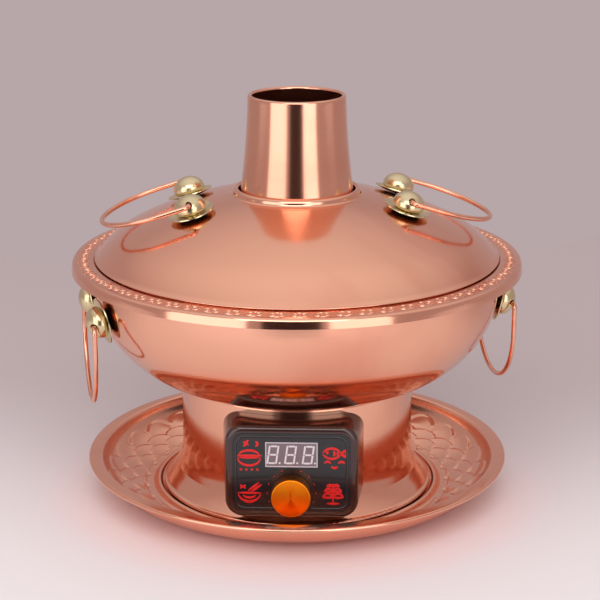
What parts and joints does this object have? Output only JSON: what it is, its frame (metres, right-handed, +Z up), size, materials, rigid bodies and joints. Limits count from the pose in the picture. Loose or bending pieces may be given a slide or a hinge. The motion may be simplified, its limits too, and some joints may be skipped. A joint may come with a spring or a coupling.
{
  "type": "chimney hot pot",
  "caption": "Electric hot pot: spun copper bowl on a pedestal with a front control box and dial, central chimney, lift-off ring lid with bail rings, side rings and a drip tray.",
  "frame": {"origin": "centre of the tray's standing ring, on the surface it stands on", "axes": "+Z up along the chimney, the control box faces -Y, the rings lie to +X and -X"},
  "size_m": [0.3399, 0.34, 0.305],
  "materials": {
    "copper": "spun copper, satin polish",
    "brass": "cast and pressed brass, polished",
    "steel": "zinc plated or stainless steel",
    "aluminium": "cast and extruded aluminium",
    "orange_metal": "orange anodised, face turned",
    "black_plastic": "glossy dark moulding",
    "board": "green circuit board",
    "component": "moulded electrical parts",
    "display_grey": "grey display body",
    "display_white": "unlit translucent segments",
    "pin_metal": "plated brass",
    "rubber": "black rubber"
  },
  "bodies": {
    "tray": {"tray": "copper"},
    "pot": {"pedestal_shell": "copper", "chimney": "copper", "bowl": "copper", "bowl_knobs": "brass", "bowl_cup_washers": "brass", "bowl_knob_screws": "steel", "bowl_studs": "steel", "tie_posts": "steel", "base_plate": "steel", "rubber_feet": "rubber", "foot_screws": "steel", "heating_plate": "aluminium", "heating_element": "steel", "heater_studs": "steel", "heater_nuts": "steel", "temperature_probe": "steel", "thermal_cutout": "component", "board_pillars": "steel", "power_board": "board", "board_screws": "steel", "relay": "component", "filter_capacitors": "component", "transformer": "component", "heat_sink": "aluminium", "terminal_block": "component", "inlet_socket": "black_plastic", "inlet_pins": "pin_metal", "inlet_screws": "steel", "inlet_nuts": "steel", "control_box": "black_plastic", "face_plate": "black_plastic", "display": "display_grey", "display_digits": "display_white", "display_board": "board", "display_board_screws": "steel", "potentiometer": "steel", "potentiometer_nut": "steel", "clamp_bars": "steel", "box_screws": "steel"},
    "lid": {"lid": "copper", "lid_knobs": "brass", "lid_cup_washers": "brass", "lid_knob_screws": "steel"},
    "lid_ring_right": {"lid_ring_right": "copper"},
    "lid_ring_left": {"lid_ring_left": "copper"},
    "bowl_ring_right": {"bowl_ring_right": "copper"},
    "bowl_ring_left": {"bowl_ring_left": "copper"},
    "control_dial": {"dial": "orange_metal", "dial_shaft": "steel"}
  },
  "joints": [
    {"name": "pot_lift", "type": "slide", "parent": "tray", "child": "pot", "axis": [0, 0, 1], "range_m": [0, 0.06]},
    {"name": "lid_lift", "type": "slide", "parent": "pot", "child": "lid", "axis": [0, 0, 1], "range_m": [0, 0.15]},
    {"name": "lid_ring_right_swing", "type": "hinge", "parent": "lid", "child": "lid_ring_right", "pos_m": [0.08115, 0.00853, 0.2314], "axis": [0.1045, -0.9945, 0], "range_deg": [0, 130]},
    {"name": "lid_ring_left_swing", "type": "hinge", "parent": "lid", "child": "lid_ring_left", "pos_m": [-0.08115, -0.00853, 0.2314], "axis": [-0.1045, 0.9945, 0], "range_deg": [0, 130]},
    {"name": "bowl_ring_right_swing", "type": "hinge", "parent": "pot", "child": "bowl_ring_right", "pos_m": [0.15412, 0.037, 0.1465], "axis": [0.2334, -0.9724, 0], "range_deg": [-38, 150]},
    {"name": "bowl_ring_left_swing", "type": "hinge", "parent": "pot", "child": "bowl_ring_left", "pos_m": [-0.15412, -0.037, 0.1465], "axis": [-0.2334, 0.9724, 0], "range_deg": [-38, 150]},
    {"name": "dial_turn", "type": "hinge", "parent": "pot", "child": "control_dial", "pos_m": [0, -0.11, 0.034], "axis": [0, 1, 0], "range_deg": [-150, 150]}
  ]
}
